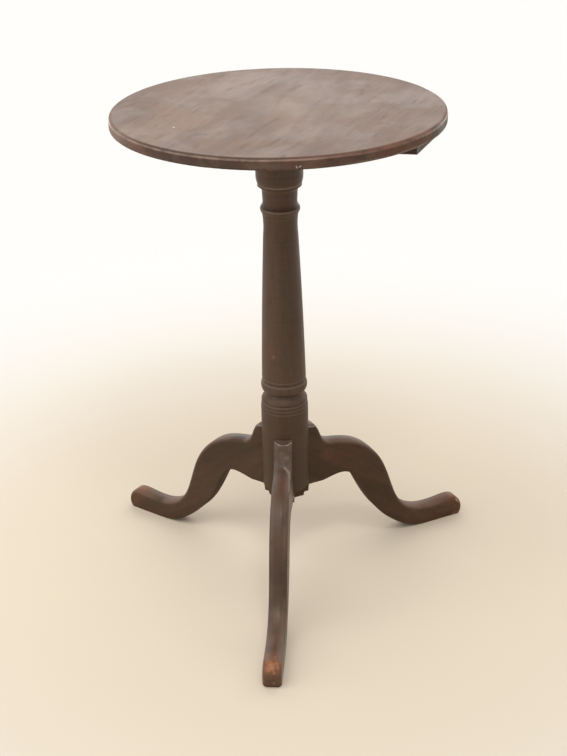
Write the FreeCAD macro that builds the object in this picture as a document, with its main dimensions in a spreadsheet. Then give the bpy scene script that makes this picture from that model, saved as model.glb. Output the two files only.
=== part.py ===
import FreeCAD, Part
import Sketcher
import os
import re

# A fixed-top tripod wine table. A round board is screwed to one wide cleat. The turned column's
# wedged tenon holds the cleat, and three cabriole legs slide into dovetail sockets in the column's
# drum. The origin is on the floor under the column's axis, +Z is up and the front leg points to -Y.

SIZES = {
    # Fits shared by the joints
    "glue_gap": 0.1,
    "overrun": 5,
    # Round top
    "table_height": 690,
    "top_radius": 216,
    "top_thickness": 15,
    "top_upper_round": 4.5,
    "top_lower_round": 2.5,
    # Cleat under the top, across its grain
    "cleat_angle": -18,
    "cleat_length": 404,
    "cleat_width": 108,
    "cleat_thickness": 22,
    "cleat_end_thickness": 12,
    "cleat_flat_length": 90,
    "cleat_chamfer": 1.5,
    # Slotted countersunk wood screws through the cleat
    "screw_along": 130,
    "screw_across": 34,
    "screw_length": 25,
    "screw_head_radius": 4.2,
    "screw_head_height": 2.5,
    "screw_shank_radius": 2.1,
    "screw_tip_length": 5,
    "screw_slot_width": 1.1,
    "screw_slot_depth": 1.1,
    "screw_sink": 0.6,
    # Column's tenon and its wedge
    "tenon_radius": 14,
    "tenon_recess": 0.5,
    "wedge_depth": 18,
    "wedge_top_width": 4,
    "wedge_tip_width": 1.2,
    # Turned column, from its lower end up
    "column_foot": 134,
    "drum_foot_round": 1.5,
    "drum_radius": 33.4,
    "drum_height": 140.5,
    "drum_rim_radius": 32.5,
    "drum_shoulder_height": 7.5,
    "drum_shoulder_radius": 27.4,
    "drum_shoulder_bulge": 0.6,
    "scribe_width": 3,
    "scribe_depth": 0.7,
    "drum_scribe_drop": 2,
    "drum_scribe_spacing": 10.6,
    "waist_radius": 25.4,
    "waist_height": 6,
    "torus_foot_radius": 31.3,
    "torus_foot_height": 2.8,
    "torus_foot_bulge": 0.3,
    "torus_height": 12,
    "torus_bulge": 1.3,
    "torus_top_radius": 31.4,
    "hollow_height": 5.8,
    "hollow_bulge": 0.6,
    "shaft_foot_radius": 31,
    "shaft_top_radius": 23.6,
    "shaft_bulge": 0.7,
    "cove_height": 27.6,
    "cove_bulge": 0.8,
    "cove_top_radius": 23.9,
    "bead_spread_height": 4.4,
    "bead_spread_bulge": 0.2,
    "bead_foot_radius": 25.5,
    "bead_height": 7.8,
    "bead_bulge": 1.4,
    "bead_top_radius": 25.2,
    "bead_cove_height": 5.4,
    "bead_cove_bulge": 0.4,
    "neck_radius": 23,
    "neck_height": 15,
    "neck_top_radius": 23.8,
    "cavetto_height": 7.7,
    "cavetto_bulge": 1.4,
    "cap_fillet_radius": 29.6,
    "cap_fillet_height": 3.6,
    "cap_cup_height": 9.6,
    "cap_cup_bulge": 0.4,
    "cap_radius": 31.5,
    "cap_height": 51.7,
    # Cabriole legs and their sliding dovetails
    "leg_count": 3,
    "right_leg_angle": 30,
    "leg_reach": 301,
    "leg_height": 222,
    "leg_thickness": 25.5,
    "leg_root_length": 24,
    "leg_root_underside": 128,
    "leg_step_depth": 10.8,
    "leg_step_slope": 1.5,
    "leg_tread_length": 6.4,
    "leg_lower_step_depth": 5.6,
    "leg_crest_stock": 4,
    "leg_crest_reach": 58,
    "leg_crest_drop": 7.5,
    "leg_crest_bulge": 1.5,
    "leg_heel_reach": 241,
    "leg_upper_round": 6,
    "leg_housing": 0.9,
    "dovetail_length": 14,
    "dovetail_neck": 11,
    "dovetail_tail": 15,
    "dovetail_height": 74,
}

# Control points of the leg's outline, as shares of leg_reach and leg_height
LEG_UPPER_SHARES = [
    (0.161, 1.020),
    (0.167, 0.860),
    (0.261, 0.842),
    (0.364, 0.814),
    (0.457, 0.724),
    (0.533, 0.582),
    (0.580, 0.364),
    (0.627, 0.210),
    (0.736, 0.125),
    (0.860, 0.130),
    (0.939, 0.150),
    (0.992, 0.118),
    (1.007, 0.036),
]
LEG_LOWER_SHARES = [
    (0.744, 0.000),
    (0.672, 0.022),
    (0.597, 0.088),
    (0.516, 0.180),
    (0.451, 0.294),
    (0.390, 0.455),
    (0.350, 0.580),
    (0.278, 0.612),
    (0.225, 0.590),
]
LEG_TOE_SHARE = 0.989

# How far a quarter circle stands off its chord, as a share of its radius
ROUND_BULGE_SHARE = "(1 - sqrt(0.5))"

doc = FreeCAD.newDocument("wine_table")
sheet = doc.addObject("Spreadsheet::Sheet", "sizes")
for row, (size_name, size) in enumerate(SIZES.items(), start=1):
    sheet.set(f"A{row}", size_name)
    sheet.set(f"B{row}", str(size))
    sheet.setAlias(f"B{row}", size_name)
doc.recompute()


def formula(words):
    """The formula with each size's name turned into its cell in the sheet."""
    return re.sub(r"[a-z_]+", lambda w: f"sizes.{w[0]}" if w[0] in SIZES else w[0], words)


def value(words):
    """The number that a formula in the sizes' names comes to."""
    return float(sheet.evalExpression(formula(words)))


def point(x, y):
    return FreeCAD.Vector(value(x), value(y), 0)


def origin(body, role):
    """One of the body's own origin planes or axes."""
    return next(o for o in body.Origin.OriginFeatures if o.Role == role)


def bind(feature, **formulas):
    """Tie the feature's properties to the sheet."""
    for name, words in formulas.items():
        feature.setExpression(name.replace("__", "."), formula(words))


def new_body(name, angle="0"):
    """An empty body, turned about the column's axis."""
    body = doc.addObject("PartDesign::Body", name)
    body.Label = name
    body.Placement.Rotation = FreeCAD.Rotation(FreeCAD.Vector(0, 0, 1), 1)
    bind(body, Placement__Rotation__Angle=angle)
    return body


def new_sketch(body, name, role, lift="0", turn_axis=None, turn="0"):
    """An empty sketch on an origin plane, lifted along the plane's normal and turned if asked."""
    sketch = body.newObject("Sketcher::SketchObject", name)
    sketch.AttachmentSupport = [(origin(body, role), "")]
    sketch.MapMode = "FlatFace"
    if turn_axis:
        sketch.AttachmentOffset.Rotation = FreeCAD.Rotation(FreeCAD.Vector(*turn_axis), 1)
        bind(sketch, AttachmentOffset__Rotation__Angle=turn)
    bind(sketch, AttachmentOffset__Base__z=lift)
    return sketch


def dimension(sketch, kind, *place, words):
    """A dimension whose datum follows a formula."""
    index = sketch.addConstraint(Sketcher.Constraint(kind, *place, value(words)))
    sketch.setExpression(f"Constraints[{index}]", formula(words))


def pin(sketch, edge, end, x, y):
    """Hold one end of an edge at x, y from the sketch's origin."""
    dimension(sketch, "DistanceX", -1, 1, edge, end, words=x)
    dimension(sketch, "DistanceY", -1, 1, edge, end, words=y)


def arc_through(start, stop, bulge):
    """An arc that stands bulge to the right of its chord, or to the left where bulge is negative."""
    chord = stop - start
    right = FreeCAD.Vector(chord.y, -chord.x, 0).normalize()
    return Part.Arc(start, (start + stop) * 0.5 + right * bulge, stop)


def arc_radius(x1, y1, x2, y2, bulge):
    """The formula of the radius of an arc with this chord and bulge."""
    chord = f"(pow(({x2}) - ({x1}); 2) + pow(({y2}) - ({y1}); 2))"
    return f"{chord} / (8 * abs({bulge})) + abs({bulge}) / 2"


def closed_outline(sketch, steps):
    """Draw a closed outline and dimension it from the sheet.

    A step is (x, y) for a straight edge to that point, (x, y, bulge) for an arc,
    or (x, y, poles) for a curve with those control points between its ends.
    """
    ends = []
    for k, (x, y, *form) in enumerate(steps):
        x0, y0 = steps[k - 1][:2]
        start = point(x0, y0)
        stop = point(x, y)
        if not form:
            edge = sketch.addGeometry(Part.LineSegment(start, stop))
        elif isinstance(form[0], str):
            edge = sketch.addGeometry(arc_through(start, stop, value(form[0])))
            dimension(sketch, "Radius", edge, words=arc_radius(x0, y0, x, y, form[0]))
        else:
            poles = [start] + [point(*pole) for pole in form[0]] + [stop]
            edge = sketch.addGeometry(Part.BSplineCurve(poles, None, None, False, 3, None, False))
            sketch.exposeInternalGeometry(edge)
            for n, pole in enumerate(form[0]):
                pin(sketch, edge + 2 + n, 3, *pole)
        begins, stops = 1, 2
        if (sketch.getPoint(edge, 2) - start).Length < (sketch.getPoint(edge, 1) - start).Length:
            begins, stops = 2, 1
        ends.append((edge, begins, stops))
        pin(sketch, edge, stops, x, y)
    for (edge, begins, _), (before, _, stops) in zip(ends, ends[-1:] + ends[:-1]):
        sketch.addConstraint(Sketcher.Constraint("Coincident", edge, begins, before, stops))
    return [edge for edge, _, _ in ends]


def finish_feature(body, feature, cuts):
    """Recompute, and make sure that a cut took something off or an addition put something on."""
    earlier = body.Shape.Volume if not body.Shape.isNull() else 0
    body.Tip = feature
    doc.recompute()
    change = body.Shape.Volume - earlier
    if (change < 0) != cuts or change == 0:
        raise RuntimeError(f"{feature.Name} changed the volume of {body.Label} by {change:.3f}")
    return feature


def turned(body, name, sketch, axis="V_Axis", cuts=False):
    """Revolve a profile, as a solid or as a cut."""
    feature = body.newObject("PartDesign::Groove" if cuts else "PartDesign::Revolution", name)
    feature.Profile = sketch
    feature.ReferenceAxis = (sketch, [axis])
    feature.Angle = 360
    return finish_feature(body, feature, cuts)


def prism(body, name, sketch, length, symmetric=False, reverse=False, cuts=False):
    """Extrude a profile, as a solid or as a cut."""
    feature = body.newObject("PartDesign::Pocket" if cuts else "PartDesign::Pad", name)
    feature.Profile = sketch
    feature.SideType = "Symmetric" if symmetric else "One side"
    feature.Reversed = reverse
    bind(feature, Length=length)
    return finish_feature(body, feature, cuts)


def edges_beside(shape, curve, half):
    """Names of the solid's two long edges that run along an outline's curve."""
    middle = curve.value((curve.FirstParameter + curve.LastParameter) / 2)
    names = []
    for side in (value(half), -value(half)):
        spot = Part.Vertex(middle.x, side, middle.y)
        gaps = [edge.distToShape(spot)[0] for edge in shape.Edges]
        names.append(f"Edge{gaps.index(min(gaps)) + 1}")
    return names


TOP_UNDERSIDE = "(table_height - top_thickness)"
CLEAT_UNDERSIDE = f"({TOP_UNDERSIDE} - cleat_thickness)"
CLEAT_SLOPE = "(cleat_thickness - cleat_end_thickness) / ((cleat_length - cleat_flat_length) / 2)"
SCREW_SEAT = f"({CLEAT_UNDERSIDE} + {CLEAT_SLOPE} * (screw_along - cleat_flat_length / 2) + screw_sink)"
LEG_SEAT = "(sqrt(pow(drum_radius; 2) - pow(leg_thickness / 2; 2)) - leg_housing)"
LEG_STEP = f"({LEG_SEAT} + leg_housing - leg_step_slope)"
LEG_TREAD = "(leg_root_underside - leg_step_depth)"
LEG_LOWER_STEP = f"({LEG_STEP} - leg_tread_length)"


def screw_steps(gap, below, tip):
    """Half of a countersunk screw seen from the side, its head down, or of the hole that holds it."""
    axis = "screw_along"
    head = f"{axis} + screw_head_radius + {gap}"
    shank = f"{axis} + screw_shank_radius + {gap}"
    neck = f"{SCREW_SEAT} + screw_head_height"
    point_height = f"{SCREW_SEAT} + screw_length + {gap}"
    steps = [(axis, f"{SCREW_SEAT} - {below}"), (head, f"{SCREW_SEAT} - {below}")]
    if below != "0":
        steps.append((head, SCREW_SEAT))
    steps.append((shank, neck))
    if tip:
        steps.append((shank, f"{point_height} - screw_tip_length"))
        steps.append((axis, point_height))
    else:
        steps.append((shank, f"{TOP_UNDERSIDE} + overrun"))
        steps.append((axis, f"{TOP_UNDERSIDE} + overrun"))
    return steps


def screw_feature(body, name, steps, cuts):
    """One screw, or its hole, at the first of the four corners."""
    sketch = new_sketch(body, f"{name}_profile", "XZ_Plane", lift="-screw_across")
    closed_outline(sketch, steps)
    low, high = point("screw_along", SCREW_SEAT), point("screw_along", TOP_UNDERSIDE)
    line = sketch.addGeometry(Part.LineSegment(low, high), True)
    pin(sketch, line, 1, "screw_along", SCREW_SEAT)
    pin(sketch, line, 2, "screw_along", TOP_UNDERSIDE)
    return turned(body, name, sketch, "Axis0", cuts)


def four_corners(body, name, originals, cuts):
    """Repeat features at the four corners of the cleat's screw pattern."""
    mirrors = []
    for role in ("YZ_Plane", "XZ_Plane"):
        mirror = doc.addObject("PartDesign::Mirrored", f"{name}_{role[:2].lower()}")
        mirror.MirrorPlane = (origin(body, role), [""])
        mirrors.append(mirror)
    corners = body.newObject("PartDesign::MultiTransform", name)
    corners.Originals = originals
    corners.Transformations = mirrors
    return finish_feature(body, corners, cuts)


def make_top_board():
    body = new_body("top_board", "cleat_angle")
    rim, upper, lower = "top_radius", "top_upper_round", "top_lower_round"
    profile = new_sketch(body, "board_profile", "XZ_Plane")
    closed_outline(profile, [
        ("0", TOP_UNDERSIDE),
        (f"{rim} - {lower}", TOP_UNDERSIDE),
        (rim, f"{TOP_UNDERSIDE} + {lower}", f"{lower} * {ROUND_BULGE_SHARE}"),
        (rim, f"table_height - {upper}"),
        (f"{rim} - {upper}", "table_height", f"{upper} * {ROUND_BULGE_SHARE}"),
        ("0", "table_height"),
    ])
    turned(body, "board", profile)
    hole = screw_feature(body, "pilot_hole", screw_steps("glue_gap", "0", True), True)
    four_corners(body, "pilot_holes", [hole], True)
    return body


def make_cleat():
    body = new_body("cleat", "cleat_angle")
    end, flat = "cleat_length / 2", "cleat_flat_length / 2"
    end_underside = f"{TOP_UNDERSIDE} - cleat_end_thickness"
    profile = new_sketch(body, "cleat_side", "XZ_Plane")
    edges = closed_outline(profile, [
        (end, TOP_UNDERSIDE),
        (f"-{end}", TOP_UNDERSIDE),
        (f"-{end}", end_underside),
        (f"-{flat}", CLEAT_UNDERSIDE),
        (flat, CLEAT_UNDERSIDE),
        (end, end_underside),
    ])
    board = prism(body, "tapered_board", profile, "cleat_width", symmetric=True)
    lower_edges = []
    for edge in edges[3:]:
        lower_edges += edges_beside(board.Shape, profile.Geometry[edge], "cleat_width / 2")
    eased = body.newObject("PartDesign::Chamfer", "eased_edges")
    eased.Base = (board, lower_edges)
    bind(eased, Size="cleat_chamfer")
    finish_feature(body, eased, True)
    mouth = new_sketch(body, "tenon_hole_circle", "XY_Plane", lift=f"{CLEAT_UNDERSIDE} - overrun")
    circle = mouth.addGeometry(Part.Circle(FreeCAD.Vector(), FreeCAD.Vector(0, 0, 1), value("tenon_radius")))
    mouth.addConstraint(Sketcher.Constraint("Coincident", circle, 3, -1, 1))
    dimension(mouth, "Radius", circle, words="tenon_radius + glue_gap")
    prism(body, "tenon_hole", mouth, "cleat_thickness + 2 * overrun", reverse=True, cuts=True)
    hole = screw_feature(body, "screw_hole", screw_steps("glue_gap", "overrun", False), True)
    four_corners(body, "screw_holes", [hole], True)
    return body


def make_cleat_screws():
    body = new_body("cleat_screws", "cleat_angle")
    screw = screw_feature(body, "screw", screw_steps("0", "0", True), False)
    slot = new_sketch(body, "slot_outline", "XY_Plane", lift=SCREW_SEAT)
    reach, half = "screw_head_radius + glue_gap", "screw_slot_width / 2"
    closed_outline(slot, [
        (f"screw_along - {reach}", f"screw_across - {half}"),
        (f"screw_along + {reach}", f"screw_across - {half}"),
        (f"screw_along + {reach}", f"screw_across + {half}"),
        (f"screw_along - {reach}", f"screw_across + {half}"),
    ])
    cut = prism(body, "slot", slot, "screw_slot_depth", reverse=True, cuts=True)
    four_corners(body, "screws", [screw, cut], False)
    return body


def scribed_line(radius, height):
    """A vee cut into a straight stretch of turning, as the steps that go up past it."""
    return [
        (radius, f"{height} - scribe_width / 2"),
        (f"{radius} - scribe_depth", height),
        (radius, f"{height} + scribe_width / 2"),
    ]


def column_steps():
    """The turned column from its lower end up to the top of its tenon."""
    drum_top = "(column_foot + drum_height)"
    shoulder = f"({drum_top} + drum_shoulder_height)"
    waist = f"({shoulder} + waist_height)"
    torus_foot = f"({waist} + torus_foot_height)"
    torus_top = f"({torus_foot} + torus_height)"
    shaft_foot = f"({torus_top} + hollow_height)"
    cap = f"({CLEAT_UNDERSIDE} - cap_height)"
    cup = f"({cap} - cap_cup_height)"
    fillet = f"({cup} - cap_fillet_height)"
    neck_top = f"({fillet} - cavetto_height)"
    neck_foot = f"({neck_top} - neck_height)"
    bead_top = f"({neck_foot} - bead_cove_height)"
    bead_foot = f"({bead_top} - bead_height)"
    cove_top = f"({bead_foot} - bead_spread_height)"
    shaft_top = f"({cove_top} - cove_height)"
    tenon_top = f"{TOP_UNDERSIDE} - tenon_recess"
    upper_line = f"({drum_top} - drum_scribe_drop)"
    return [
        ("0", "column_foot"),
        ("drum_radius - drum_foot_round", "column_foot"),
        ("drum_radius", "column_foot + drum_foot_round", f"drum_foot_round * {ROUND_BULGE_SHARE}"),
        *scribed_line("drum_radius", f"({upper_line} - drum_scribe_spacing)"),
        *scribed_line("drum_rim_radius", upper_line),
        ("drum_rim_radius", drum_top),
        ("drum_shoulder_radius", shoulder, "drum_shoulder_bulge"),
        ("waist_radius", waist),
        ("torus_foot_radius", torus_foot, "torus_foot_bulge"),
        ("torus_top_radius", torus_top, "torus_bulge"),
        ("shaft_foot_radius", shaft_foot, "-hollow_bulge"),
        ("shaft_top_radius", shaft_top, "shaft_bulge"),
        ("cove_top_radius", cove_top, "-cove_bulge"),
        ("bead_foot_radius", bead_foot, "-bead_spread_bulge"),
        ("bead_top_radius", bead_top, "bead_bulge"),
        ("neck_radius", neck_foot, "-bead_cove_bulge"),
        ("neck_top_radius", neck_top),
        ("cap_fillet_radius", fillet, "-cavetto_bulge"),
        ("cap_fillet_radius", cup),
        ("cap_radius", cap, "cap_cup_bulge"),
        ("cap_radius", CLEAT_UNDERSIDE),
        ("tenon_radius", CLEAT_UNDERSIDE),
        ("tenon_radius", tenon_top),
        ("0", tenon_top),
    ]


def dovetail_steps(gap, root):
    """A dovetail in plan, narrow at the leg's seat and wide at its inner end."""
    inner = f"{LEG_SEAT} - dovetail_length - {gap}"
    neck = f"(dovetail_neck / 2 + {gap})"
    tail = f"(dovetail_tail / 2 + {gap})"
    return [
        (f"{LEG_SEAT} + {root}", f"-{neck}"),
        (f"{LEG_SEAT} + {root}", neck),
        (LEG_SEAT, neck),
        (inner, tail),
        (inner, f"-{tail}"),
        (LEG_SEAT, f"-{neck}"),
    ]


def make_column():
    body = new_body("column", "right_leg_angle")
    profile = new_sketch(body, "turning", "XZ_Plane")
    closed_outline(profile, column_steps())
    turned(body, "turned_column", profile)

    seat = new_sketch(body, "seat_outline", "XY_Plane", lift="column_foot")
    side = "(leg_thickness / 2 + glue_gap)"
    closed_outline(seat, [
        (LEG_SEAT, f"-{side}"),
        ("drum_radius + overrun", f"-{side}"),
        ("drum_radius + overrun", side),
        (LEG_SEAT, side),
    ])
    seat_cut = prism(body, "leg_seat", seat, "leg_height - column_foot + glue_gap", reverse=True, cuts=True)
    socket = new_sketch(body, "socket_outline", "XY_Plane", lift="column_foot")
    closed_outline(socket, dovetail_steps("glue_gap", "overrun"))
    socket_cut = prism(body, "socket", socket, "dovetail_height + glue_gap", reverse=True, cuts=True)
    sockets = body.newObject("PartDesign::PolarPattern", "leg_sockets")
    sockets.Originals = [seat_cut, socket_cut]
    sockets.Axis = (origin(body, "Z_Axis"), [""])
    sockets.Angle = 360
    bind(sockets, Occurrences="leg_count")
    finish_feature(body, sockets, True)

    kerf_turn = "cleat_angle - right_leg_angle"
    kerf = new_sketch(body, "kerf_outline", "XZ_Plane", turn_axis=(0, 1, 0), turn=kerf_turn)
    closed_outline(kerf, wedge_steps("glue_gap"))
    prism(body, "wedge_kerf", kerf, "2 * (tenon_radius + overrun)", symmetric=True, cuts=True)
    return body


def wedge_steps(gap):
    """The wedge seen from its end, or the kerf that it spreads."""
    crown = f"{TOP_UNDERSIDE} - tenon_recess"
    tip = f"{crown} - wedge_depth - {gap}"
    top_half, tip_half = f"(wedge_top_width / 2 + {gap})", f"(wedge_tip_width / 2 + {gap})"
    return [(top_half, crown), (f"-{top_half}", crown), (f"-{tip_half}", tip), (tip_half, tip)]


def make_tenon_wedge():
    body = new_body("tenon_wedge", "cleat_angle")
    profile = new_sketch(body, "wedge_end", "XZ_Plane")
    closed_outline(profile, wedge_steps("0"))
    across = "2 * sqrt(pow(tenon_radius; 2) - pow(wedge_top_width / 2; 2))"
    prism(body, "wedge", profile, across, symmetric=True)
    return body


def outline_shares(shares):
    """Control points of the leg's outline in formulas."""
    return [(f"leg_reach * {reach}", f"leg_height * {height}") for reach, height in shares]


def make_leg(name, angle):
    """One cabriole leg, built along X. Its stepped root runs in under the drum to meet the others."""
    body = new_body(name, angle)
    toe = f"leg_reach * {LEG_TOE_SHARE}"
    outline = new_sketch(body, f"{name}_outline", "XZ_Plane")
    heart = "leg_thickness / (2 * tan(180 / leg_count)) + glue_gap"
    foot = f"{LEG_TREAD} - leg_lower_step_depth"
    edges = closed_outline(outline, [
        (LEG_SEAT, "leg_height + leg_crest_stock"),
        (toe, "0", outline_shares(LEG_UPPER_SHARES)),
        ("leg_heel_reach", "0"),
        (f"{LEG_SEAT} + leg_root_length", "leg_root_underside", outline_shares(LEG_LOWER_SHARES)),
        (f"{LEG_SEAT} + leg_housing", "leg_root_underside"),
        (LEG_STEP, LEG_TREAD),
        (LEG_LOWER_STEP, LEG_TREAD),
        (f"{LEG_LOWER_STEP} - leg_step_slope", foot),
        (heart, foot),
        (heart, "column_foot"),
        (LEG_SEAT, "column_foot"),
    ])
    blank = prism(body, f"{name}_blank", outline, "leg_thickness", symmetric=True)
    upper = outline.Geometry[edges[1]]
    rounded = body.newObject("PartDesign::Fillet", f"{name}_round")
    rounded.Base = (blank, edges_beside(blank.Shape, upper, "leg_thickness / 2"))
    bind(rounded, Radius="leg_upper_round")
    finish_feature(body, rounded, True)
    crest = new_sketch(body, f"{name}_crest", "XZ_Plane")
    closed_outline(crest, [
        (LEG_SEAT, "leg_height"),
        ("leg_crest_reach", "leg_height - leg_crest_drop", "-leg_crest_bulge"),
        ("leg_crest_reach", "leg_height + leg_crest_stock + overrun"),
        (LEG_SEAT, "leg_height + leg_crest_stock + overrun"),
    ])
    prism(body, f"{name}_planed_crest", crest, "leg_thickness + 2 * overrun", symmetric=True, cuts=True)
    tongue = new_sketch(body, f"{name}_tongue", "XY_Plane", lift="column_foot")
    closed_outline(tongue, dovetail_steps("0", "leg_housing"))
    prism(body, f"{name}_dovetail", tongue, "dovetail_height")
    return body


bodies = [
    make_top_board(),
    make_cleat(),
    make_cleat_screws(),
    make_column(),
    make_tenon_wedge(),
    make_leg("leg_right", "right_leg_angle"),
    make_leg("leg_left", "right_leg_angle + 360 / leg_count"),
    make_leg("leg_front", "right_leg_angle + 2 * 360 / leg_count"),
]

doc.recompute()
for item in doc.Objects:
    if {"Invalid", "Error"} & set(item.State):
        raise RuntimeError(f"{item.Name} failed: {item.State}")
for body in bodies:
    if body.Shape.isNull() or not body.Shape.isValid():
        raise RuntimeError(f"{body.Label} has no valid shape")

os.makedirs("parts", exist_ok=True)
for body in bodies:
    body.Shape.exportStep(f"parts/{body.Label}.step")
    print(body.Label, len(body.Shape.Solids), round(body.Shape.Volume / 1000, 2), body.Shape.BoundBox)
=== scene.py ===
from functools import reduce
from math import radians
import bpy
from mathutils import Matrix, Vector

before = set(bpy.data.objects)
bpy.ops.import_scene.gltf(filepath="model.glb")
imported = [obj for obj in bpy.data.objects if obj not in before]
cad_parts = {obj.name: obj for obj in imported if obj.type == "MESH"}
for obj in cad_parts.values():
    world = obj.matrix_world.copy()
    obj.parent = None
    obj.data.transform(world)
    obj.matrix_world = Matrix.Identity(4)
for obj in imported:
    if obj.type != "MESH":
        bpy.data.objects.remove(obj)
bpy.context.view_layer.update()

# Angles about the column's axis, in degrees
GRAIN_ANGLE = 72
CLEAT_ANGLE = -18

# Height of the top's upper face, in metres
TOP_Z = 0.69

# Old wax warms what the wood reflects
WAX_TINT = (1.0, 0.93, 0.87, 1.0)

# A Mix node's factor and colour sockets, among those for its other data types
MIX_COLOR_INPUTS = (0, 6, 7)
MIX_COLOR_OUTPUT = 2


class Paint:
    """A procedural surface: a Principled shader, and short names for the nodes that feed it."""

    def __init__(self, name, sockets):
        self.material = bpy.data.materials.new(name)
        self.material.use_nodes = True
        self.nodes = self.material.node_tree.nodes
        self.links = self.material.node_tree.links
        self.shader = self.nodes["Principled BSDF"]
        self.place = self.nodes.new("ShaderNodeTexCoord").outputs["Object"]
        self.normal = self.nodes.new("ShaderNodeNewGeometry").outputs["Normal"]
        for socket, value in sockets.items():
            self.put(self.shader.inputs[socket], value)

    def put(self, socket, value):
        if isinstance(value, bpy.types.NodeSocket):
            self.links.new(value, socket)
        else:
            socket.default_value = value

    def math(self, operation, *values):
        node = self.nodes.new("ShaderNodeMath")
        node.operation = operation
        for socket, value in zip(node.inputs, values):
            self.put(socket, value)
        return node.outputs[0]

    def fold(self, operation, values):
        return reduce(lambda total, value: self.math(operation, total, value), values)

    def plus(self, *values):
        return self.fold("ADD", values)

    def less(self, *values):
        return self.fold("SUBTRACT", values)

    def times(self, *values):
        return self.fold("MULTIPLY", values)

    def most(self, *values):
        return self.fold("MAXIMUM", values)

    def vector_math(self, operation, *values, output="Vector"):
        node = self.nodes.new("ShaderNodeVectorMath")
        node.operation = operation
        for socket, value in zip(node.inputs, values):
            self.put(socket, value)
        return node.outputs[output]

    def shift(self, vector, location):
        """The vector seen from another place."""
        return self.vector_math("SUBTRACT", vector, location)

    def turn(self, vector, angles):
        """The vector in axes that are turned by these angles, in degrees."""
        for axis, angle in enumerate(angles):
            if angle:
                node = self.nodes.new("ShaderNodeVectorRotate")
                node.rotation_type = "XYZ"[axis] + "_AXIS"
                self.put(node.inputs["Vector"], vector)
                self.put(node.inputs["Angle"], -radians(angle))
                vector = node.outputs[0]
        return vector

    def stretch(self, vector, scale):
        return self.vector_math("MULTIPLY", vector, scale)

    def split(self, vector):
        node = self.nodes.new("ShaderNodeSeparateXYZ")
        self.put(node.inputs[0], vector)
        return node.outputs

    def length(self, vector):
        return self.vector_math("LENGTH", vector, output="Value")

    def noise(self, vector, scale, detail, rough, distort=0.0):
        """Noise from about 0.3 to 0.7. The scale is in features per metre along each axis."""
        node = self.nodes.new("ShaderNodeTexNoise")
        self.put(node.inputs["Vector"], self.stretch(vector, scale))
        self.put(node.inputs["Scale"], 1.0)
        self.put(node.inputs["Detail"], detail)
        self.put(node.inputs["Roughness"], rough)
        self.put(node.inputs["Distortion"], distort)
        return node.outputs[0]

    def rise(self, value, low, high, bottom=0.0, top=1.0):
        """A smooth climb from bottom to top as the value goes from low to high."""
        node = self.nodes.new("ShaderNodeMapRange")
        node.interpolation_type = "SMOOTHSTEP"
        for socket, number in zip(node.inputs, (value, low, high, bottom, top)):
            self.put(socket, number)
        return node.outputs[0]

    def band(self, value, middle, half, soft):
        """1 within half of the middle, falling to 0 over the soft distance beyond."""
        off = self.math("ABSOLUTE", self.less(value, middle))
        return self.rise(off, half + soft, half)

    def spot(self, vector, centre, radius, soft):
        """1 within a ball, falling to 0 over the soft distance round it."""
        return self.rise(self.length(self.shift(vector, centre)), radius + soft, radius)

    def stroke(self, vector, start, stop, width):
        """1 along a straight scratch, and 0 at its width from that line."""
        run = Vector(stop) - Vector(start)
        off = self.shift(vector, start)
        share = self.vector_math("DOT_PRODUCT", off, run / run.length_squared, output="Value")
        share = self.math("MINIMUM", self.math("MAXIMUM", share, 0.0), 1.0)
        return self.rise(self.length(self.shift(off, self.stretch(run, share))), width, width * 0.2)

    def lines(self, value, rows):
        """The strongest of some bands, each a row of middle, half, soft and share."""
        return self.most(*(self.times(self.band(value, *row), share) for *row, share in rows))

    def strokes(self, vector, rows):
        """The strongest of some scratches, each a row of start, stop, width and share."""
        return self.most(*(self.times(self.stroke(vector, *row), share) for *row, share in rows))

    def mix(self, share, low, high):
        node = self.nodes.new("ShaderNodeMix")
        node.data_type = "RGBA"
        for index, value in zip(MIX_COLOR_INPUTS, (share, low, high)):
            self.put(node.inputs[index], value)
        return node.outputs[MIX_COLOR_OUTPUT]

    def coat(self, color, tone, *shares):
        """The colour with a share of another tone over it."""
        return self.mix(self.times(*shares), color, tone)

    def bump(self, height, distance, strength=1.0, normal=None):
        node = self.nodes.new("ShaderNodeBump")
        if normal:
            self.put(node.inputs["Normal"], normal)
        self.put(node.inputs["Strength"], strength)
        self.put(node.inputs["Distance"], distance)
        self.put(node.inputs["Height"], height)
        return node.outputs[0]

    def finish(self, color, roughness, normal):
        self.put(self.shader.inputs["Base Color"], color)
        self.put(self.shader.inputs["Roughness"], roughness)
        self.put(self.shader.inputs["Normal"], normal)
        return self.material


def rgb(red, green, blue):
    """A colour written as seen on screen, from 0 to 255, in the shader's linear values."""
    shown = [value / 255 for value in (red, green, blue)]
    linear = [v / 12.92 if v <= 10 / 255 else ((v + 0.055) / 1.055) ** 2.4 for v in shown]
    return (*linear, 1.0)


def wood_grain(paint, grain):
    """Streaks, fine fibres and open pores along the x axis of the grain's own place."""
    streak = paint.noise(grain, (3.0, 34.0, 34.0), 5.0, 0.6, 0.35)
    fibre = paint.noise(grain, (14.0, 420.0, 420.0), 3.0, 0.6)
    pores = paint.rise(paint.noise(grain, (45.0, 900.0, 900.0), 2.0, 0.5), 0.60, 0.70)
    return streak, fibre, pores


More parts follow.
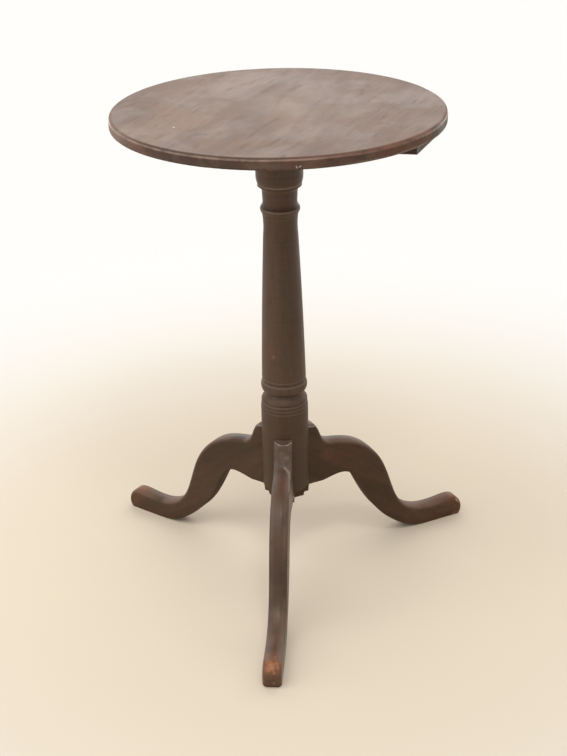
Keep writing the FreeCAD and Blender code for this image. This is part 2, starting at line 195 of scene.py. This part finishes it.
# Marks on the top: start, stop, width and share
TOP_SCRATCHES = [
    ((0.1058, -0.0765, TOP_Z), (0.1415, 0.0078, TOP_Z), 0.0011, 0.55),
    ((0.1134, -0.0618, TOP_Z), (0.1380, -0.0560, TOP_Z), 0.0020, 0.45),
    ((0.1360, -0.0580, TOP_Z), (0.1502, -0.0750, TOP_Z), 0.0016, 0.35),
]
TOP_DENTS = [
    ((-0.034, 0.200, TOP_Z), (-0.020, 0.204, TOP_Z), 0.0022, 1.0),
    ((-0.016, 0.204, TOP_Z), (-0.004, 0.207, TOP_Z), 0.0018, 1.0),
    ((0.010, 0.186, TOP_Z), (0.023, 0.190, TOP_Z), 0.0020, 1.0),
]
RIM_CHIPS = [
    ((0.0372, -0.2128, 0.6800), (0.0383, -0.2126, 0.6780), 0.0008, 1.0),
    ((0.0408, -0.2121, 0.6790), (0.0424, -0.2118, 0.6802), 0.0008, 1.0),
]


def top_paint():
    """Faded and waxed top: grey-brown with darker smears and painted shade towards the right, a dark worn
    rim with painted light at its left end and a pale upper arris line that is partly wear and partly painted
    highlight, and a raw underside.
    """
    paint = Paint("top_wood", {"Specular IOR Level": 0.18, "Specular Tint": WAX_TINT})
    place = paint.place
    grain = paint.turn(place, (0, 0, GRAIN_ANGLE))
    streak, fibre, pores = wood_grain(paint, grain)
    x, _, z = paint.split(place)
    radius = paint.length(paint.stretch(place, (1, 1, 0)))
    up = paint.split(paint.normal)[2]

    broad = paint.noise(grain, (3.4, 12.0, 6.0), 4.0, 0.6, 0.5)
    smears = paint.rise(paint.noise(grain, (17.0, 88.0, 20.0), 5.0, 0.65, 0.25), 0.53, 0.74)
    cloud = paint.noise(place, (11.0, 11.0, 9.0), 5.0, 0.62)
    mottle = paint.noise(place, (85.0, 85.0, 85.0), 5.0, 0.66)
    color = paint.mix(paint.rise(broad, 0.36, 0.64), rgb(104, 82, 69), rgb(129, 105, 90))
    color = paint.coat(color, rgb(94, 73, 61), paint.rise(streak, 0.48, 0.66), 0.40)
    color = paint.coat(color, rgb(74, 57, 48), smears, 0.52)
    color = paint.coat(color, rgb(92, 72, 60), paint.rise(fibre, 0.45, 0.65), 0.24)
    color = paint.coat(color, rgb(138, 110, 95), paint.rise(cloud, 0.50, 0.66), 0.35)
    color = paint.coat(color, rgb(94, 70, 58), paint.rise(mottle, 0.52, 0.70), 0.26)
    bleached = paint.times(paint.spot(place, (0.03, 0.02, TOP_Z), 0.03, 0.09), paint.rise(cloud, 0.34, 0.60))
    color = paint.coat(color, rgb(130, 114, 98), bleached, 0.35)
    color = paint.coat(color, rgb(66, 50, 42), pores, 0.30)
    color = paint.coat(color, rgb(84, 66, 58), paint.rise(radius, 0.09, 0.20, 0.0, 0.16))
    # Darker towards the right: painted shade, standing for the falloff of the top's sheen
    color = paint.coat(color, rgb(84, 68, 62), paint.rise(x, 0.02, 0.20, 0.0, 0.14))

    scratches = paint.times(paint.strokes(place, TOP_SCRATCHES), paint.rise(mottle, 0.40, 0.56))
    speck = paint.spot(place, (-0.1208, -0.0890, TOP_Z), 0.0009, 0.0010)
    dents = paint.strokes(place, TOP_DENTS)
    color = paint.coat(color, rgb(176, 154, 138), scratches, 0.40)
    color = paint.coat(color, rgb(72, 54, 46), dents, 0.5)
    color = paint.coat(color, rgb(225, 208, 188), speck)

    rim_tone = paint.noise(place, (30.0, 30.0, 60.0), 4.0, 0.6, 0.3)
    rim = paint.mix(paint.rise(rim_tone, 0.40, 0.64), rgb(75, 58, 50), rgb(98, 77, 66))
    rim = paint.coat(rim, rgb(110, 74, 58), paint.rise(cloud, 0.46, 0.62), 0.5)
    rim = paint.coat(rim, rgb(60, 46, 39), paint.rise(fibre, 0.42, 0.64), 0.2)
    # The rim's left end is painted lighter as painted light from the left, more so higher up the rim
    lit = paint.times(paint.rise(x, -0.130, -0.212), paint.rise(z, 0.675, 0.685, 0.60, 0.80))
    rim = paint.coat(rim, rgb(142, 114, 100), lit)
    on_rim = paint.rise(radius, 0.2105, 0.2150)
    color = paint.mix(on_rim, color, rim)
    front = paint.times(paint.rise(x, 0.14, 0.00, 0.2, 1.0), paint.rise(x, -0.20, -0.12, 0.2, 1.0))
    edge = paint.times(paint.band(up, 0.80, 0.10, 0.08), front)
    color = paint.coat(color, rgb(70, 54, 46), edge, 0.62)
    # A pale line along the upper arris, weaker towards the right: partly rubbed wear and partly a painted
    # highlight; the same band also makes the arris glossier
    polish_and_highlight = paint.band(up, 0.38, 0.14, 0.18)
    worn = paint.times(polish_and_highlight, paint.rise(rim_tone, 0.22, 0.64), paint.rise(x, 0.16, 0.04, 0.35, 1.0))
    color = paint.coat(color, rgb(158, 131, 116), worn, 0.70)
    right = paint.rise(x, 0.02, 0.14)
    red = paint.times(paint.band(up, 0.62, 0.24, 0.12), right, paint.rise(rim_tone, 0.36, 0.58))
    color = paint.coat(color, rgb(126, 86, 69), red, 0.65)
    # Pale line along the lower arris at the right: partly wear and partly a painted highlight
    low_edge = paint.times(paint.rise(z, 0.6790, 0.6765), on_rim, right, paint.rise(rim_tone, 0.34, 0.60))
    color = paint.coat(color, rgb(150, 126, 108), low_edge, 0.5)
    color = paint.coat(color, rgb(188, 176, 160), paint.strokes(place, RIM_CHIPS))

    raw = paint.mix(paint.rise(streak, 0.4, 0.62), rgb(74, 56, 43), rgb(98, 77, 60))
    raw = paint.coat(raw, rgb(46, 35, 28), pores, 0.6)
    below = paint.rise(up, -0.75, -0.95)
    color = paint.mix(below, color, raw)

    roughness = paint.rise(cloud, 0.38, 0.64, 0.38, 0.52)
    roughness = paint.plus(roughness, paint.times(smears, 0.08), paint.times(on_rim, 0.14))
    roughness = paint.less(roughness, paint.times(polish_and_highlight, 0.34))
    roughness = paint.plus(roughness, paint.times(below, 0.3))
    height = paint.less(paint.times(streak, 0.6), paint.times(pores, 0.5))
    height = paint.plus(height, paint.times(mottle, 0.3))
    height = paint.less(height, paint.times(paint.most(scratches, dents), 0.8))
    return paint.finish(color, roughness, paint.bump(height, 0.0005, 0.5))


# Lines round the column: height, half width, softness and share
# Dark lines: dirt in the scribed grooves, and painted shade in the creases under the torus (0.2885), above
# the bead (0.5600) and under the cap (0.5876)
DIRT_AND_SHADE_LINES = [
    (0.2740, 0.0004, 0.0012, 0.7),
    (0.2686, 0.0006, 0.0016, 0.6),
    (0.2631, 0.0005, 0.0014, 0.5),
    (0.2885, 0.0012, 0.0022, 1.0),
    (0.3058, 0.0006, 0.0014, 0.6),
    (0.5600, 0.0003, 0.0010, 0.6),
    (0.5876, 0.0004, 0.0010, 0.8),
]
# Pale lines: partly rubbed wear and partly painted highlights, such as the one on the torus's bulge
RUBBED_AND_HIGHLIGHT_LINES = [
    (0.2712, 0.0004, 0.0016, 0.6),
    (0.2657, 0.0004, 0.0020, 0.3),
    (0.2605, 0.0003, 0.0016, 0.35),
    (0.3024, 0.0005, 0.0012, 1.0),
    (0.3088, 0.0003, 0.0010, 0.8),
    (0.5452, 0.0003, 0.0008, 0.4),
]
# Painted highlights along the bead's widest ring and the arris under the cap
ARRIS_HIGHLIGHT_LINES = [
    (0.5568, 0.0006, 0.0012, 1.0),
    (0.5912, 0.0005, 0.0012, 1.0),
]


def column_paint():
    """Turned wood, stained dark brown: fine rings from the turning, dirt in the cut lines, painted shade in
    the creases, painted highlights on the bead, the torus and the cap's arris, and a warmer left side as
    painted light.
    """
    paint = Paint("column_wood", {"Specular IOR Level": 0.22, "Specular Tint": WAX_TINT})
    place = paint.place
    grain = paint.turn(place, (0, 90, 0))
    streak, fibre, pores = wood_grain(paint, grain)
    x, _, z = paint.split(place)
    turning = paint.noise(place, (3.0, 3.0, 900.0), 3.0, 0.6)
    rings = paint.noise(place, (9.0, 9.0, 300.0), 3.0, 0.6)
    patch = paint.noise(place, (24.0, 24.0, 9.0), 4.0, 0.6, 0.4)
    mottle = paint.noise(place, (110.0, 110.0, 70.0), 4.0, 0.6)

    color = paint.mix(paint.rise(streak, 0.34, 0.66), rgb(82, 64, 51), rgb(95, 73, 59))
    # Reddish patches, stronger on the left side, where the tint is painted warm light
    warm_patches_and_left_light = paint.times(paint.rise(patch, 0.42, 0.66), paint.rise(x, 0.012, -0.018, 0.25, 1.0))
    color = paint.coat(color, rgb(100, 71, 54), warm_patches_and_left_light, 0.6)
    color = paint.coat(color, rgb(62, 50, 41), paint.rise(mottle, 0.48, 0.70), 0.25)
    color = paint.coat(color, rgb(56, 45, 36), paint.rise(fibre, 0.46, 0.66), 0.10)
    ringed = paint.most(paint.rise(z, 0.575, 0.600, 0.08, 0.26), paint.rise(z, 0.305, 0.285, 0.08, 0.20))
    color = paint.coat(color, rgb(58, 46, 37), paint.rise(rings, 0.46, 0.66), ringed)
    pale = paint.times(paint.rise(rings, 0.48, 0.32), paint.rise(patch, 0.40, 0.60), ringed)
    color = paint.coat(color, rgb(114, 90, 74), pale)
    color = paint.coat(color, rgb(44, 35, 28), pores, 0.25)
    worn = paint.most(
        paint.spot(place, (-0.0150, -0.0245, 0.356), 0.002, 0.015),
        paint.times(paint.spot(place, (-0.024, -0.016, 0.375), 0.002, 0.020), 0.6),
        paint.times(paint.spot(place, (-0.018, -0.022, 0.330), 0.002, 0.016), 0.5),
    )
    worn = paint.times(worn, paint.rise(mottle, 0.34, 0.58))
    color = paint.coat(color, rgb(112, 72, 56), worn, 0.6)
    bare = paint.times(paint.spot(place, (-0.0110, -0.0262, 0.349), 0.0008, 0.0036), 0.55)
    color = paint.coat(color, rgb(142, 108, 88), bare)

    color = paint.coat(color, rgb(62, 47, 33), paint.rise(z, 0.480, 0.320, 0.0, 0.14))
    color = paint.coat(color, rgb(60, 46, 32), paint.rise(z, 0.278, 0.255, 0.0, 0.42))

    # Dark lines of groove dirt and painted shade, then pale lines of rubbed wear and painted highlights,
    # then painted highlights along the arrises
    color = paint.coat(color, rgb(40, 31, 25), paint.lines(z, DIRT_AND_SHADE_LINES), 0.50)
    color = paint.coat(color, rgb(118, 101, 88), paint.lines(z, RUBBED_AND_HIGHLIGHT_LINES), 0.50)
    color = paint.coat(color, rgb(146, 126, 111), paint.lines(z, ARRIS_HIGHLIGHT_LINES), 0.50)

    roughness = paint.rise(patch, 0.36, 0.66, 0.42, 0.54)
    height = paint.less(paint.times(streak, 0.4), paint.times(pores, 0.4))
    height = paint.plus(height, paint.times(turning, 0.25))
    return paint.finish(color, roughness, paint.bump(height, 0.0005, 0.4))


# A leg's back falls away from its middle, out to this reach, by this much times the square of the distance
CROWN_REACH = 0.0075
CROWN_FALL = -24.0


def leg_paint(name, angle, marks_and_highlights, chips, bare):
    """Shaped wood, stained dark: rubbed grey-brown along its back, partly dust and partly painted sheen,
    with painted highlights along its arrises and crest, worn to orange at the toe.
    """
    paint = Paint(f"{name}_wood", {"Specular IOR Level": 0.10 + 0.20 * bare, "Specular Tint": WAX_TINT})
    along = paint.turn(paint.place, (0, 0, angle))
    grain = paint.turn(along, (0, 35, 0))
    streak, fibre, pores = wood_grain(paint, paint.shift(grain, (angle * 0.013, 0.0, 0.0)))
    x, y, z = paint.split(along)
    up = paint.split(paint.normal)[2]
    side = paint.math("ABSOLUTE", y)
    patch = paint.noise(paint.place, (22.0, 22.0, 22.0), 3.0, 0.5)
    mottle = paint.noise(paint.place, (120.0, 120.0, 120.0), 4.0, 0.62)

    color = paint.mix(paint.rise(streak, 0.34, 0.66), rgb(69, 53, 41), rgb(82, 63, 48))
    color = paint.coat(color, rgb(94, 62, 47), paint.rise(patch, 0.50, 0.68), 0.35)
    color = paint.coat(color, rgb(56, 42, 33), paint.rise(mottle, 0.50, 0.70), 0.25)
    color = paint.coat(color, rgb(52, 39, 31), paint.rise(fibre, 0.46, 0.66), 0.15)
    color = paint.coat(color, rgb(40, 30, 24), pores, 0.25)

    back = paint.rise(up, 0.10, 0.45)
    # Up-facing back painted lighter: partly dust, partly painted sheen
    dust_and_sheen = paint.times(back, paint.rise(patch, 0.36, 0.58))
    color = paint.coat(color, rgb(102, 80, 69), dust_and_sheen, 0.45 - 0.20 * bare)
    # Up-facing tops painted lighter and warmer as painted sheen, broken by patches, less on rubbed legs
    painted_sheen_on_tops = paint.times(paint.rise(up, 0.35, 0.80), paint.rise(patch, 0.20, 0.55))
    color = paint.coat(color, rgb(140, 110, 91), painted_sheen_on_tops, 0.42 - 0.42 * bare)
    # Pale lines along the back's edges: partly wear, partly painted highlights on the rounded arrises
    arris_wear_and_highlight = paint.times(back, paint.band(side, 0.0096, 0.0008, 0.0040), paint.rise(patch, 0.34, 0.60))
    color = paint.coat(color, rgb(124, 104, 91), arris_wear_and_highlight, 0.25)
    crest = paint.plus(x, paint.times(paint.math("POWER", side, 2.0), 50.0))
    high = paint.times(paint.rise(z, 0.210, 0.214), paint.rise(up, 0.55, 0.85))
    color = paint.coat(color, rgb(112, 96, 86), high, 0.30)
    color = paint.coat(color, rgb(50, 39, 32), high, paint.band(crest, 0.0428, 0.0006, 0.0014), 0.25)
    # A pale crescent on the crest's front arris, scaled by wear: partly bare wood, partly a painted
    # highlight
    color = paint.coat(color, rgb(182, 164, 150), high, paint.band(crest, 0.0453, 0.0004, 0.0008), bare)
    # Marks: patches of wear and tone, and on the front leg also two painted highlights on the crest
    for centre, radius, share, tone in marks_and_highlights:
        mark = paint.spot(along, centre, radius * 0.3, radius * 0.7)
        color = paint.coat(color, tone, mark, paint.rise(mottle, 0.22, 0.66), share)
    for start, stop, width, share, tone in chips:
        color = paint.coat(color, tone, paint.stroke(along, start, stop, width), share)

    toe_edge = paint.plus(x, paint.times(paint.less(mottle, 0.5), 0.04))
    toe = paint.times(paint.rise(toe_edge, 0.252, 0.286), paint.rise(z, 0.014, 0.028))
    color = paint.coat(color, rgb(122, 77, 52), toe, 0.30 + 0.50 * bare)
    worn = paint.times(paint.rise(toe_edge, 0.272, 0.286), paint.rise(z, 0.019, 0.028))
    worn = paint.times(worn, paint.rise(side, 0.0115, 0.0060), paint.rise(mottle, 0.36, 0.64))
    color = paint.coat(color, rgb(172, 112, 68), worn, 0.15 + 0.80 * bare)
    low = paint.times(paint.rise(x, 0.270, 0.295), paint.rise(z, 0.026, 0.014))
    color = paint.coat(color, rgb(104, 70, 53), low, paint.rise(mottle, 0.30, 0.62), 0.8)
    color = paint.coat(color, rgb(86, 57, 43), paint.rise(z, 0.012, 0.002), 0.5)

    roughness = paint.rise(patch, 0.36, 0.66, 0.36 - 0.07 * bare, 0.50 - 0.07 * bare)
    roughness = paint.plus(roughness, paint.rise(up, 0.0, -0.4, 0.0, 0.35))
    height = paint.less(paint.times(streak, 0.4), paint.times(pores, 0.4))
    uneven = paint.noise(paint.place, (20.0, 20.0, 20.0), 2.0, 0.5)
    height = paint.plus(height, paint.times(uneven, 0.8))
    crown = paint.times(paint.math("POWER", paint.math("MINIMUM", side, CROWN_REACH), 2.0), CROWN_FALL)
    return paint.finish(color, roughness, paint.bump(height, 0.0006, 0.45, paint.bump(crown, 1.0)))


def cleat_paint():
    """Rough sawn and stained cross-piece, dull underneath."""
    paint = Paint("cleat_wood", {"Specular IOR Level": 0.20})
    grain = paint.turn(paint.place, (0, 0, CLEAT_ANGLE))
    streak, fibre, pores = wood_grain(paint, grain)
    saw = paint.noise(grain, (260.0, 6.0, 6.0), 2.0, 0.5)
    color = paint.mix(paint.rise(streak, 0.36, 0.64), rgb(76, 57, 45), rgb(104, 80, 62))
    color = paint.coat(color, rgb(58, 44, 35), paint.rise(fibre, 0.46, 0.66), 0.4)
    color = paint.coat(color, rgb(40, 31, 25), pores, 0.5)
    height = paint.plus(paint.times(streak, 0.5), paint.times(saw, 0.4))
    height = paint.less(height, paint.times(pores, 0.5))
    return paint.finish(color, paint.rise(streak, 0.36, 0.64, 0.52, 0.66), paint.bump(height, 0.0006, 0.6))


def wedge_paint():
    """Bare pale wood."""
    paint = Paint("wedge_wood", {"Specular IOR Level": 0.4})
    grain = paint.turn(paint.place, (0, 90, 0))
    streak, fibre, pores = wood_grain(paint, grain)
    color = paint.mix(paint.rise(streak, 0.36, 0.64), rgb(166, 134, 98), rgb(190, 158, 118))
    color = paint.coat(color, rgb(140, 108, 76), paint.rise(fibre, 0.46, 0.66), 0.4)
    height = paint.less(streak, paint.times(pores, 0.5))
    return paint.finish(color, paint.rise(fibre, 0.4, 0.6, 0.55, 0.7), paint.bump(height, 0.0003, 0.5))


def screw_paint():
    """Steel, browned with age."""
    paint = Paint("screw_steel", {"Metallic": 0.85})
    rust = paint.noise(paint.place, (420.0, 420.0, 420.0), 4.0, 0.65)
    turning = paint.noise(paint.place, (90.0, 90.0, 2200.0), 2.0, 0.5)
    color = paint.mix(paint.rise(rust, 0.40, 0.62), rgb(128, 120, 112), rgb(84, 62, 48))
    height = paint.plus(paint.times(rust, 0.6), paint.times(turning, 0.3))
    return paint.finish(color, paint.rise(rust, 0.4, 0.62, 0.36, 0.66), paint.bump(height, 0.0002, 0.6))


# Marks and chips on the legs, in metres along the leg, across it and up.
# A mark is a centre, a radius, a share and a tone; a chip is a start, a stop, a width, a share and a tone.
RIGHT_MARKS = [
    ((0.062, -0.0128, 0.170), 0.016, 0.6, rgb(106, 68, 52)),
    ((0.078, -0.0128, 0.161), 0.018, 0.5, rgb(98, 60, 46)),
    ((0.245, -0.0128, 0.020), 0.070, 0.5, rgb(106, 78, 61)),
]
RIGHT_CHIPS = [
    ((0.290, -0.0118, 0.026), (0.295, -0.0100, 0.018), 0.0028, 0.8, rgb(206, 176, 142)),
    ((0.284, -0.0126, 0.003), (0.295, -0.0124, 0.004), 0.0018, 0.6, rgb(180, 150, 120)),
]
FRONT_MARKS_AND_HIGHLIGHTS = [
    # The first two marks are painted highlights on the front of the crest
    ((0.0520, 0.0000, 0.2048), 0.0110, 0.35, rgb(128, 113, 105)),
    ((0.0520, 0.0056, 0.2040), 0.0060, 0.35, rgb(142, 126, 116)),
    ((0.0580, 0.0000, 0.1950), 0.0060, 0.30, rgb(60, 48, 42)),
    ((0.0777, 0.0006, 0.1867), 0.0140, 0.55, rgb(102, 72, 58)),
    ((0.0956, 0.0046, 0.1830), 0.0150, 0.65, rgb(112, 71, 56)),
    ((0.1121, 0.0029, 0.1770), 0.0140, 0.45, rgb(102, 70, 56)),
    ((0.2050, 0.0040, 0.0382), 0.0220, 0.45, rgb(112, 76, 60)),
    ((0.2400, 0.0060, 0.0280), 0.0260, 0.45, rgb(114, 74, 56)),
]
FRONT_CHIPS = [
    ((0.0606, 0.0036, 0.1923), (0.0658, 0.0089, 0.1895), 0.0030, 0.75, rgb(152, 134, 122)),
    ((0.0658, 0.0089, 0.1895), (0.0748, 0.0119, 0.1860), 0.0030, 0.60, rgb(146, 126, 112)),
    ((0.0748, 0.0119, 0.1860), (0.1007, 0.0122, 0.1790), 0.0026, 0.45, rgb(140, 118, 102)),
    ((0.2940, -0.0040, 0.0260), (0.2960, -0.0030, 0.0243), 0.0016, 0.80, rgb(196, 160, 130)),
    ((0.2970, 0.0028, 0.0228), (0.2976, 0.0036, 0.0220), 0.0014, 0.80, rgb(206, 176, 148)),
    ((0.3006, 0.0028, 0.0098), (0.3008, 0.0040, 0.0070), 0.0016, 0.70, rgb(170, 150, 140)),
]

# Each leg's angle in degrees, its marks and chips, and how far its finish is rubbed away, from 0 to 1
LEGS = {
    "leg_right": (30, RIGHT_MARKS, RIGHT_CHIPS, 0.1),
    "leg_left": (150, (), (), 0.3),
    "leg_front": (270, FRONT_MARKS_AND_HIGHLIGHTS, FRONT_CHIPS, 1.0),
}
paints = {
    "top_board": top_paint(),
    "column": column_paint(),
    **{name: leg_paint(name, *leg) for name, leg in LEGS.items()},
    "cleat": cleat_paint(),
    "tenon_wedge": wedge_paint(),
    "cleat_screws": screw_paint(),
}
for node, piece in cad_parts.items():
    for slot in piece.material_slots:
        slot.material = paints[node]


# The floor lies just under the soles, and fades from its colour to white between two distances
FLOOR_Z = -0.0003
FLOOR_REACH = 30.0
FLOOR_FADE = (0.35, 1.50)
FLOOR_NEAR = rgb(228, 214, 192)
FLOOR_FAR = rgb(246, 245, 243)
FLOOR_WHITE = rgb(255, 254, 251)

# Rays that see floor and world as white, the world's strength for all others, and its colour
WHITE_RAYS = ("Is Camera Ray", "Is Glossy Ray", "Is Transmission Ray")
WORLD_LIGHT = 0.37
WORLD_COLOR = (1.0, 0.99, 0.97, 1.0)

# The photo's camera, with its focal length in pixels
FRAME_HEIGHT = 756
FOCAL_LENGTH = 1320.32
SENSOR_HEIGHT = 36.0
CAMERA_PLACE = (0.138778, -1.655621, 1.137771)
CAMERA_SIGHT = Vector((-0.07501654, 0.89056840, -0.44862061))
CAMERA_RIGHT = Vector((0.99707142, 0.07369713, -0.02042821))

# Each lamp's name, place, target, size in metres, power in watts and colour
LAMPS = [
    ("wall_bounce", (0.2, 1.3, 1.35), (0.0, -0.6, 0.9), (4.0, 2.6), 30.0, (1.0, 0.97, 0.94)),
    ("ceiling", (-0.4, -1.0, 2.6), (0.0, 0.0, 0.3), (2.6, 2.6), 40.0, (1.0, 1.0, 1.0)),
    ("window", (-2.4, -0.9, 1.5), (0.0, 0.0, 0.4), (1.4, 1.8), 17.0, (0.96, 0.98, 1.0)),
    ("fanlight", (0.35, -1.15, 2.5), (0.05, -0.2, 0.5), (0.5, 0.3), 7.0, (1.0, 1.0, 1.0)),
]


def make_floor():
    """A plain pale floor that fades to white round the table."""
    mesh = bpy.data.meshes.new("floor")
    corners = [(x * FLOOR_REACH, y * FLOOR_REACH, FLOOR_Z) for x, y in ((-1, -1), (1, -1), (1, 1), (-1, 1))]
    mesh.from_pydata(corners, [], [(0, 1, 2, 3)])
    floor = bpy.data.objects.new("floor", mesh)
    bpy.context.scene.collection.objects.link(floor)
    paint = Paint("floor_plain", {"Roughness": 0.6, "Specular IOR Level": 0.2})
    away = paint.rise(paint.length(paint.place), *FLOOR_FADE)
    paint.put(paint.shader.inputs["Base Color"], paint.mix(away, FLOOR_NEAR, FLOOR_FAR))
    light = paint.nodes.new("ShaderNodeEmission")
    shown = paint.nodes.new("ShaderNodeLightPath")
    paint.put(light.inputs["Color"], FLOOR_WHITE)
    mixer = paint.nodes.new("ShaderNodeMixShader")
    seen = paint.most(*(shown.outputs[ray] for ray in WHITE_RAYS))
    paint.put(mixer.inputs[0], paint.times(away, seen))
    paint.links.new(paint.shader.outputs[0], mixer.inputs[1])
    paint.links.new(light.outputs[0], mixer.inputs[2])
    paint.links.new(mixer.outputs[0], paint.nodes["Material Output"].inputs["Surface"])
    mesh.materials.append(paint.material)


def make_lamp(name, place, target, size, power, color):
    """A soft rectangular lamp that faces its target."""
    lamp = bpy.data.lights.new(name, "AREA")
    lamp.shape = "RECTANGLE"
    lamp.size, lamp.size_y = size
    lamp.energy = power
    lamp.color = color
    piece = bpy.data.objects.new(name, lamp)
    piece.location = place
    piece.rotation_euler = (Vector(target) - Vector(place)).to_track_quat("-Z", "Y").to_euler()
    piece.visible_camera = False
    bpy.context.scene.collection.objects.link(piece)


def make_world():
    """Even light from all round, white where it is seen."""
    world = bpy.data.worlds.new("room")
    world.use_nodes = True
    nodes, links = world.node_tree.nodes, world.node_tree.links
    shown = nodes.new("ShaderNodeLightPath")
    strength = nodes.new("ShaderNodeMapRange")
    strength.inputs["To Min"].default_value = WORLD_LIGHT
    strength.inputs["To Max"].default_value = 1.0
    seen = shown.outputs[WHITE_RAYS[0]]
    for ray in WHITE_RAYS[1:]:
        most = nodes.new("ShaderNodeMath")
        most.operation = "MAXIMUM"
        links.new(seen, most.inputs[0])
        links.new(shown.outputs[ray], most.inputs[1])
        seen = most.outputs[0]
    links.new(seen, strength.inputs["Value"])
    links.new(strength.outputs[0], nodes["Background"].inputs["Strength"])
    nodes["Background"].inputs["Color"].default_value = WORLD_COLOR
    bpy.context.scene.world = world


def make_camera():
    """The photo's camera: its place, its sight line and its lean."""
    camera = bpy.data.cameras.new("camera")
    camera.sensor_fit = "VERTICAL"
    camera.sensor_height = SENSOR_HEIGHT
    camera.lens = FOCAL_LENGTH * SENSOR_HEIGHT / FRAME_HEIGHT
    piece = bpy.data.objects.new("camera", camera)
    up = CAMERA_RIGHT.cross(CAMERA_SIGHT)
    turned = Matrix((CAMERA_RIGHT, up, -CAMERA_SIGHT)).transposed().to_4x4()
    piece.matrix_world = Matrix.Translation(CAMERA_PLACE) @ turned
    bpy.context.scene.collection.objects.link(piece)
    bpy.context.scene.camera = piece


make_floor()
make_world()
make_camera()
for lamp in LAMPS:
    make_lamp(*lamp)
bpy.context.scene.view_settings.view_transform = "Standard"
